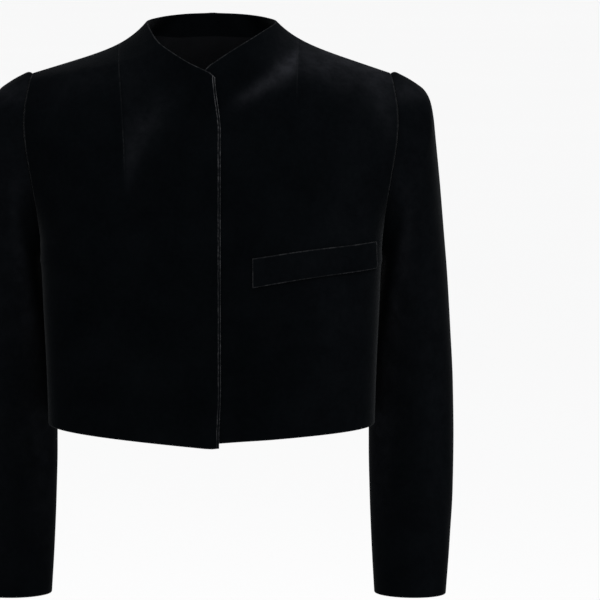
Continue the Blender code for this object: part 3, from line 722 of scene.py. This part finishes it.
def welt_panel(front):
    """The pocket's welt: a slanted strip read from the left front's points and lifted along its normals. It
    runs from an upright line to an even share of the front's face."""
    face = slice(0, len(FACE_SHARES))
    shares = np.broadcast_to(FACE_SHARES[:, None], (*front.points[:, face].shape[:2], 1))
    by_across = np.concatenate([front.points[:, face, :1], shares], axis=-1)
    inner = row_lookup(by_across, np.full((len(shares), 1), WELT_INNER[0]))[..., 1]
    by_share = np.concatenate([shares, front.points[:, face], front.normals[:, face]], axis=-1)
    lines = row_lookup(by_share, inner + (WELT_END - inner) * eased(WELT_GRID[0]))[..., 1:].swapaxes(0, 1)
    by_height = lines[..., [2, 0, 1, 3, 4, 5]]
    across = row_lookup(by_height, np.full((len(lines), 1), WELT_INNER[1]))[:, 0, 1]
    reached = (across - across[0]) / (across[-1] - across[0])
    height = WELT_HEIGHT + (WELT_HEIGHT_OUT - WELT_HEIGHT) * reached
    middle = WELT_INNER[1] + WELT_RISE * reached + WELT_BOW * np.sin(np.pi * reached)
    found = row_lookup(by_height, middle[:, None] + height[:, None] * (eased(WELT_GRID[1]) - 0.5))
    normals = unit(found[..., 3:])
    base = found[..., [1, 2, 0]]
    inner_end = distance_to(base, base[0])
    outer_end = distance_to(base, base[-1])
    long_edges = nearest(distance_to(base, base[:, 0]), distance_to(base, base[:, -1]))
    from_line = nearest(inner_end, outer_end / OUTER_LINE, long_edges)
    brushed = soft_marks(PAINTED_SHEEN_STROKES["pocket_welt"], base[..., 0], base[..., 2], SHEEN_STROKE_ENDS)
    marks = all_marks(long_edges.shape, turned_edge=from_line / MM, brushed=brushed)
    lifted = base + normals * (WELT_GAP + WELT_THICK)
    turned = nearest(inner_end, outer_end, long_edges)
    return Panel(lifted, normals, turned, np.full_like(turned, FAR), marks, closed=False)


class Value:
    """One number of a shader that changes over the surface. Sums with it add Math nodes."""

    def __init__(self, finish, socket):
        self.finish = finish
        self.socket = socket

    def math(self, operation, *others):
        """A Math node on this value and the others."""
        return self.finish.math(operation, self, *others)

    def __add__(self, other):
        return self.math("ADD", other)

    def __radd__(self, other):
        return self.math("ADD", other)

    def __sub__(self, other):
        return self.math("SUBTRACT", other)

    def __rsub__(self, other):
        return self.finish.math("SUBTRACT", other, self)

    def __mul__(self, other):
        return self.math("MULTIPLY", other)

    def __rmul__(self, other):
        return self.math("MULTIPLY", other)


class Finish:
    """A material made from nodes."""

    def __init__(self, name):
        self.material = bpy.data.materials.new(name)
        self.material.use_nodes = True
        self.tree = self.material.node_tree
        self.shader = self.tree.nodes["Principled BSDF"]

    def node(self, kind, settings=None, inputs=None):
        """Adds a node, sets its settings, then sets or links its sockets by name or number."""
        made = self.tree.nodes.new(kind)
        for key, value in (settings or {}).items():
            setattr(made, key, value)
        for key, value in (inputs or {}).items():
            self.put(made.inputs[key], value)
        return made

    def put(self, socket, value):
        """Links a value to a socket, or sets the socket to a plain number, colour or vector."""
        if isinstance(value, Value):
            self.tree.links.new(value.socket, socket)
        elif isinstance(value, bpy.types.NodeSocket):
            self.tree.links.new(value, socket)
        else:
            socket.default_value = value

    def math(self, operation, *values):
        """A Math node on the values given."""
        made = self.node("ShaderNodeMath", {"operation": operation}, dict(enumerate(values)))
        return Value(self, made.outputs[0])

    def mark(self, name):
        """One of the piece's own attributes."""
        return Value(self, self.node("ShaderNodeAttribute", {"attribute_name": name}).outputs["Fac"])

    def noise(self, scale, detail, roughness, stretch=(1, 1, 1)):
        """Noise on the piece's Object coordinates, stretched along the axes."""
        place = self.node("ShaderNodeTexCoord").outputs["Object"]
        moved = self.node("ShaderNodeMapping", inputs={"Vector": place, "Scale": stretch}).outputs[0]
        settings = {"Vector": moved, "Scale": scale, "Detail": detail, "Roughness": roughness}
        return Value(self, self.node("ShaderNodeTexNoise", inputs=settings).outputs["Fac"])

    def clamp(self, value):
        """The value, kept between 0 and 1."""
        return Value(self, self.node("ShaderNodeClamp", inputs={"Value": value}).outputs[0])

    def ramp(self, value, low, high):
        """0 at low, 1 at high and a soft S between."""
        settings = {"interpolation_type": "SMOOTHSTEP"}
        inputs = {"Value": value, "From Min": low, "From Max": high}
        return Value(self, self.node("ShaderNodeMapRange", settings, inputs).outputs[0])

    def line(self, distance, middle, width):
        """1 on a line at a distance, up to a fifth of its width, and 0 from its width on."""
        away = (distance - middle).math("ABSOLUTE")
        return 1 - self.ramp(away, 0.2 * width, width)

    def blend(self, factor, first, second):
        """Mix of two colours: the first where the factor is 0 and the second where it is 1."""
        inputs = {0: factor, 6: first, 7: second}
        return self.node("ShaderNodeMix", {"data_type": "RGBA"}, inputs).outputs[2]

    def set(self, **values):
        """Sets or links the shader's sockets, with _ for each space in their names."""
        for key, value in values.items():
            self.put(self.shader.inputs[key.replace("_", " ")], value)


DEEP_BLACK = (0.00076, 0.00103, 0.00132, 1)
SOFT_BLACK = (0.00165, 0.00208, 0.00256, 1)
# Colour of the painted sheen strokes.
PAINTED_SHEEN_GREY = (0.0106, 0.0112, 0.0134, 1)
# Colour of the light lines on edges and seams: partly split pile, partly painted highlights.
EDGE_LINE_AND_HIGHLIGHT_GREY = (0.0400, 0.0408, 0.0435, 1)
REVERSE_BLACK = (0.0030, 0.0032, 0.0038, 1)
REVERSE_GREY = (0.0070, 0.0073, 0.0082, 1)
THREADS = 5200.0             # angle that the weave's waves turn through in a metre


def black_velvet():
    """Black pile: mottled by the nap, with painted sheen as lighter strokes where the pile catches the
    light, and fine light lines along folded edges, seams and darts, partly where the pile splits and partly
    painted highlights, broken up by noise. Inside, past the turned edges, it shows the cloth's plain back:
    a close over-and-under weave of two crossed sets of threads."""
    velvet = Finish("black_velvet")

    # Nap, and painted sheen: lighter strokes where the pile catches the light
    patches = velvet.noise(22, 3, 0.55)
    tufts = velvet.noise(190, 3, 0.6)
    pile = velvet.noise(1500, 2, 0.6, (1, 1, 0.6))
    broken = velvet.ramp(velvet.noise(210, 3, 0.65), 0.38, 0.68)
    broken = broken * velvet.ramp(velvet.noise(38, 2, 0.6), 0.22, 0.62)
    wander = (velvet.noise(90, 3, 0.6) - 0.5) * 2.0
    nap = velvet.clamp(patches * 1.3 + tufts * 0.7 - 0.55)
    colour = velvet.blend(nap, DEEP_BLACK, SOFT_BLACK)
    sheen_mottle = velvet.ramp(velvet.noise(64, 4, 0.68), 0.30, 0.72)
    # Painted sheen and highlights, mottled by noise.
    brushed = velvet.clamp(velvet.mark("brushed") * (0.45 + sheen_mottle * 0.75 + tufts * 0.4))
    colour = velvet.blend(brushed, colour, PAINTED_SHEEN_GREY)

    # Fine light lines along edges, seams and darts: partly where the pile splits and shows lighter, partly
    # painted highlights
    front_edge = velvet.mark("front_edge")
    turned = velvet.mark("turned_edge")
    armhole = velvet.mark("armhole")
    dart = velvet.mark("dart")
    edge_pair = velvet.line(front_edge + wander * 0.3, 0.3, 0.65)
    edge_pair = edge_pair + velvet.line(front_edge + wander * 0.8, 2.6, 0.65) * 0.85
    place = velvet.node("ShaderNodeTexCoord").outputs["Object"]
    parts = velvet.node("ShaderNodeSeparateXYZ", inputs={0: place}).outputs
    up = Value(velvet, parts["Z"])
    # The front edge's light lines are stronger near the neck and fainter towards the hem.
    above_hem = velvet.ramp(up, -0.40, -0.30)
    near_neck = velvet.ramp(up, -0.07, -0.01)
    edge_pair = edge_pair * (0.5 + above_hem * 0.4 + near_neck * 0.7)
    turned_line = velvet.line(turned + wander * 0.3, 0.4, 1.0) * 0.45
    seam_line = velvet.line(armhole + wander * 0.5, 1.2, 1.2) * 0.24
    seam_line = seam_line + velvet.line(velvet.mark("seam"), 0.9, 0.8) * 0.2
    dart_line = velvet.line(dart + wander * 0.5, 0.0, 0.9) * velvet.mark("dart_light")
    outside = 1 - velvet.mark("inside")
    lines = (edge_pair + turned_line + seam_line + dart_line) * (0.2 + broken * 0.9) * outside
    colour = velvet.blend(velvet.clamp(lines), colour, EDGE_LINE_AND_HIGHLIGHT_GREY)

    # The cloth's woven back
    warp = (Value(velvet, parts["X"]) * THREADS).math("SINE")
    weft = (up * THREADS).math("SINE")
    weave = warp * weft * 0.5 + 0.5
    slubs = velvet.noise(90, 3, 0.6, (1, 1, 0.25))
    reverse = velvet.blend(velvet.clamp(weave * 0.5 + slubs * 0.6 - 0.1), REVERSE_BLACK, REVERSE_GREY)
    from_edge = front_edge.math("MINIMUM", turned)
    past_turning = velvet.ramp(from_edge, TURNED_IN / MM - TURNING_SOFT, TURNED_IN / MM + TURNING_SOFT)
    bare = velvet.mark("inside") * past_turning
    colour = velvet.blend(bare, colour, reverse)

    # Relief of pile, darts and weave
    dart_dip = velvet.line(dart, 0.0, 2.2) * velvet.mark("dart_light") * outside
    height = (pile * 0.00035 + tufts * 0.0003 - dart_dip * 0.006) * (1 - bare) + weave * bare * 0.00015
    bump = velvet.node("ShaderNodeBump", inputs={"Height": height, "Strength": 0.6, "Distance": 1.0})
    velvet.set(
        Base_Color=colour,
        Roughness=0.84 + pile * 0.16,
        Normal=bump.outputs[0],
        Specular_IOR_Level=0.0,
        Sheen_Weight=0.034,
        Sheen_Roughness=0.28,
        Sheen_Tint=(0.92, 0.96, 1.0, 1),
    )
    return velvet.material


def dress():
    """Makes every piece and puts it on the body in place of its solid."""
    velvet = black_velvet()
    fronts = {side: front_panel(side) for side in SIDES}
    backs = [back_panel(side) for side in SIDES]
    made = {}
    for side in SIDES:
        made["front_" + side] = add_piece("front_%s_velvet" % side, [fronts[side]], CLOTH, velvet)
    made["back"] = add_piece("back_velvet", backs, CLOTH, velvet)
    for side in SIDES:
        made["sleeve_" + side] = add_piece("sleeve_%s_velvet" % side, [sleeve_panel(side)], CLOTH, velvet)
    welt = welt_panel(fronts["left"])
    made["pocket_welt"] = add_piece("pocket_welt_velvet", [welt], WELT_THICK, velvet)
    for node, piece in made.items():
        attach(piece, "root")
        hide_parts(node)


def studio():
    """Pale floor far below, an even pale surround and one large soft light from above."""
    size = 90.0
    low = -1.35
    corners = [(-size, -size, low), (size, -size, low), (size, size, low), (-size, size, low)]
    floor_data = bpy.data.meshes.new("floor")
    floor_data.from_pydata(corners, [], [(0, 1, 2, 3)])
    floor = bpy.data.objects.new("floor", floor_data)
    bpy.context.scene.collection.objects.link(floor)
    pale = Finish("pale_floor")
    tone = pale.noise(0.4, 2, 0.5)
    colour = pale.blend(tone, (0.960, 0.960, 0.962, 1), (0.972, 0.972, 0.974, 1))
    pale.set(Base_Color=colour, Roughness=0.9, Specular_IOR_Level=0.0)
    floor_data.materials.append(pale.material)

    world = bpy.data.worlds.new("studio")
    world.use_nodes = True
    surround = world.node_tree.nodes["Background"].inputs
    surround["Color"].default_value = (0.973, 0.973, 0.973, 1)
    surround["Strength"].default_value = 1.0
    bpy.context.scene.world = world
    bpy.context.scene.view_settings.view_transform = "Standard"

    light = bpy.data.lights.new("softbox", "AREA")
    light.shape = "RECTANGLE"
    light.size = 2.4
    light.size_y = 1.6
    light.energy = 60
    lamp = bpy.data.objects.new("softbox", light)
    lamp.location = (0.9, -1.6, 2.2)
    lamp.rotation_euler = (np.radians(38), np.radians(14), np.radians(20))
    bpy.context.scene.collection.objects.link(lamp)


def camera():
    """The photo's view: a long lens from the front, a little above."""
    distance = 5.0
    tilt = np.radians(5)
    frame_width = 0.651
    target = np.array([0.0955, 0, -0.246])
    data = bpy.data.cameras.new("camera")
    data.sensor_width = 36
    data.lens = data.sensor_width * distance / frame_width
    eye = bpy.data.objects.new("camera", data)
    eye.location = target + distance * np.array([0, -np.cos(tilt), np.sin(tilt)])
    eye.rotation_euler = (np.pi / 2 - tilt, 0, 0)
    bpy.context.scene.collection.objects.link(eye)
    bpy.context.scene.camera = eye


dress()
studio()
camera()
